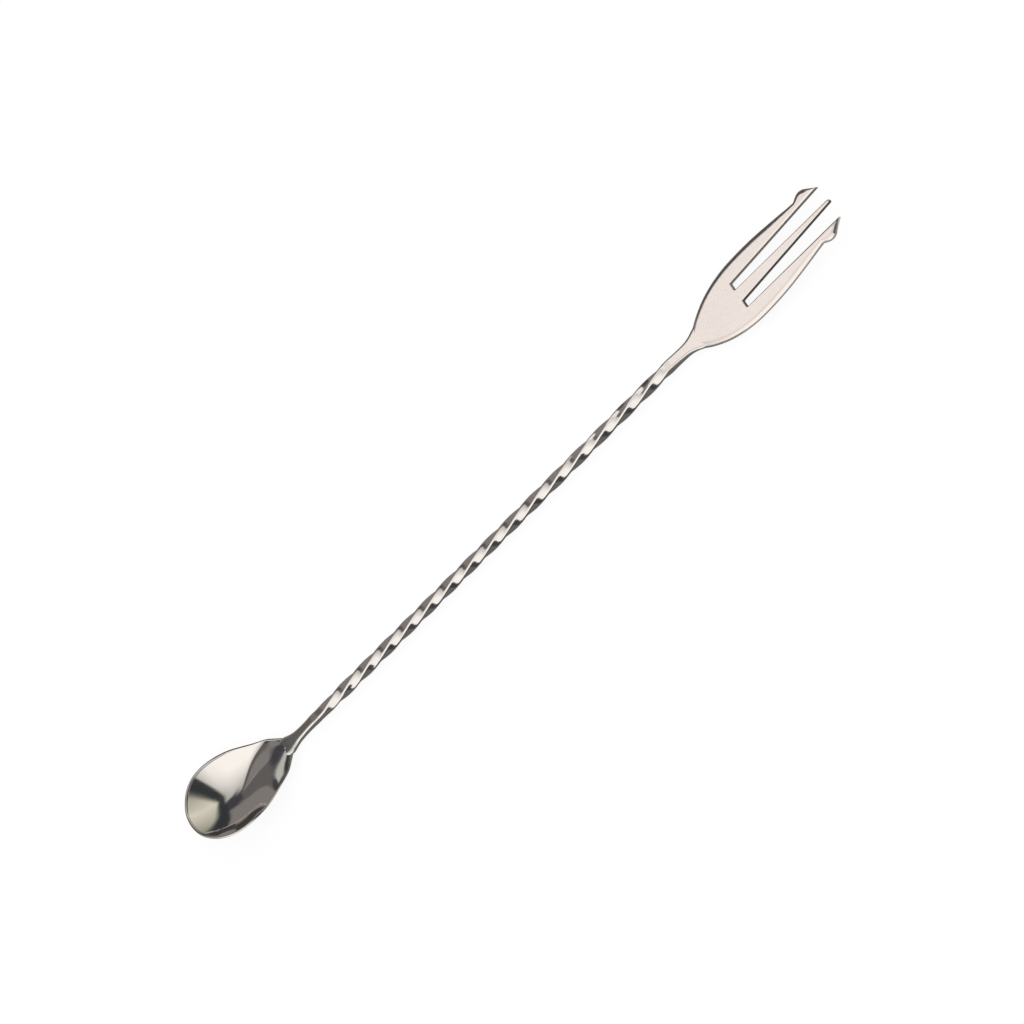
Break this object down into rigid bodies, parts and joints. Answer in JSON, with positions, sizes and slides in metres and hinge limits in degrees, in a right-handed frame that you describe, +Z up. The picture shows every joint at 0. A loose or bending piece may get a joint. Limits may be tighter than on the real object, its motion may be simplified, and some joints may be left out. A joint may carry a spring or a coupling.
{
  "type": "bar spoon",
  "caption": "Long bar spoon with a teardrop bowl, a twisted square shaft and a flat three-tine fork with barbed outer tines.",
  "frame": {"origin": "on the surface the spoon rests on, under the middle of its overall length", "axes": "+X along the shaft from the bowl to the fork; +Y across it; +Z up out of the bowl's opening"},
  "size_m": [0.3001, 0.0274, 0.0104],
  "materials": {
    "polished_steel": "mirror-polished stainless steel",
    "ground_weld": "weld filler ground flush and polished"
  },
  "bodies": {
    "root": {"spoon_bowl": "polished_steel", "bowl_weld": "ground_weld", "twisted_shaft": "polished_steel", "fork_weld": "ground_weld", "fork_head": "polished_steel"}
  },
  "joints": []
}
